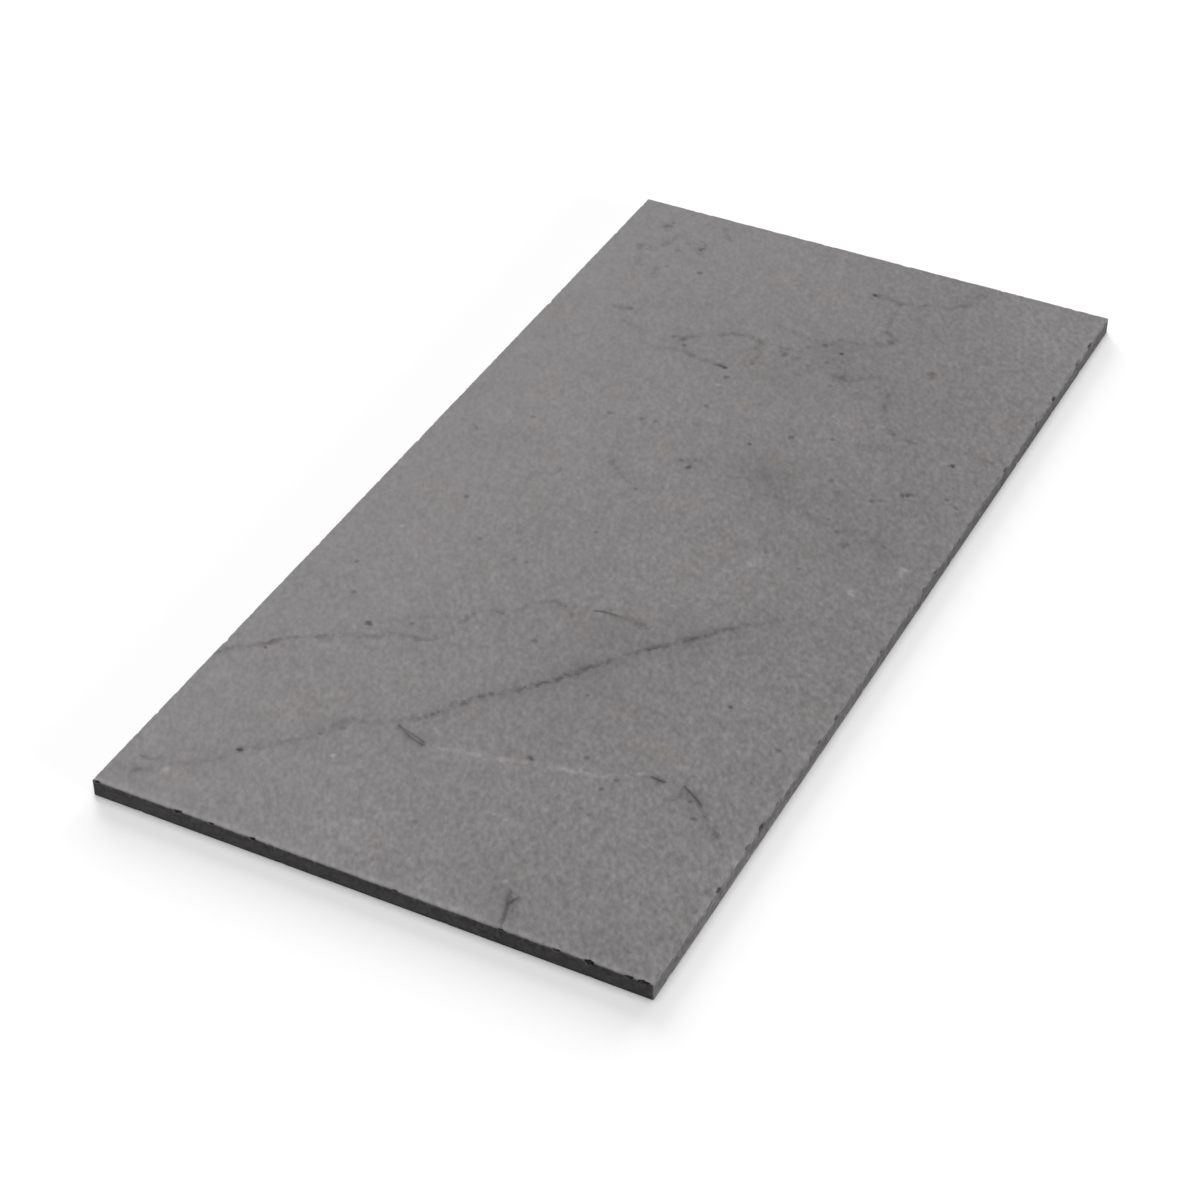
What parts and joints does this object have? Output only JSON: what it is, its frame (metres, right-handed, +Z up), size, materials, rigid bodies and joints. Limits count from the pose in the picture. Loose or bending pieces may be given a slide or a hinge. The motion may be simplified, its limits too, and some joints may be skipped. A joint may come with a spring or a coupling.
{
  "type": "limestone tile",
  "caption": "Rectangular slab of dark grey limestone with a honed, veined and pitted face, sawn edges and a flat underside for bedding on a floor or wall.",
  "frame": {"origin": "centre of the underside, the face that is bedded", "axes": "+X across the tile's width, +Y along its length, +Z up out of the honed face"},
  "size_m": [0.305, 0.61, 0.0095],
  "materials": {
    "honed_limestone": "honed matte face, sawn edges and underside"
  },
  "bodies": {
    "root": {"limestone_tile": "honed_limestone"}
  },
  "joints": []
}
